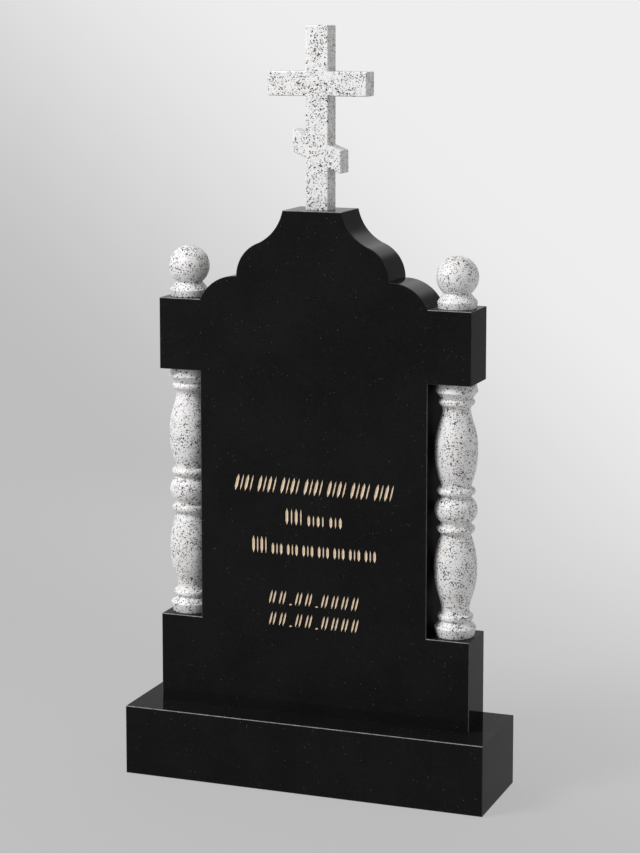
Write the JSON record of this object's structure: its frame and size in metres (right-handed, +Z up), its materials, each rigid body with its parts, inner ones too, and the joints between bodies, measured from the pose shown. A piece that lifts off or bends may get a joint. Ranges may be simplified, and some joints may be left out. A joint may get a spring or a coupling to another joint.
{
  "type": "cross headstone",
  "caption": "Upright stone grave memorial: stepped onion-crowned slab on a plinth, turned balusters in its side niches, ball finials on its shoulders and a cross with a slanted foot bar on top.",
  "frame": {"origin": "middle of the plinth's underside, on the ground", "axes": "+Z up, +X to the viewer's right, the inscribed front faces -Y"},
  "size_m": [0.7, 0.2, 1.404],
  "materials": {
    "black_granite": "mirror-polished black gabbro with very fine grey specks",
    "white_granite": "polished near-white granite with dense small black and grey grains",
    "gilding": "gold leaf in the shallow cut strokes of the inscription field"
  },
  "bodies": {
    "root": {"plinth": "black_granite", "slab": "black_granite", "cross": "white_granite", "baluster_left": "white_granite", "ball_finial_left": "white_granite", "baluster_right": "white_granite", "ball_finial_right": "white_granite"}
  },
  "joints": []
}
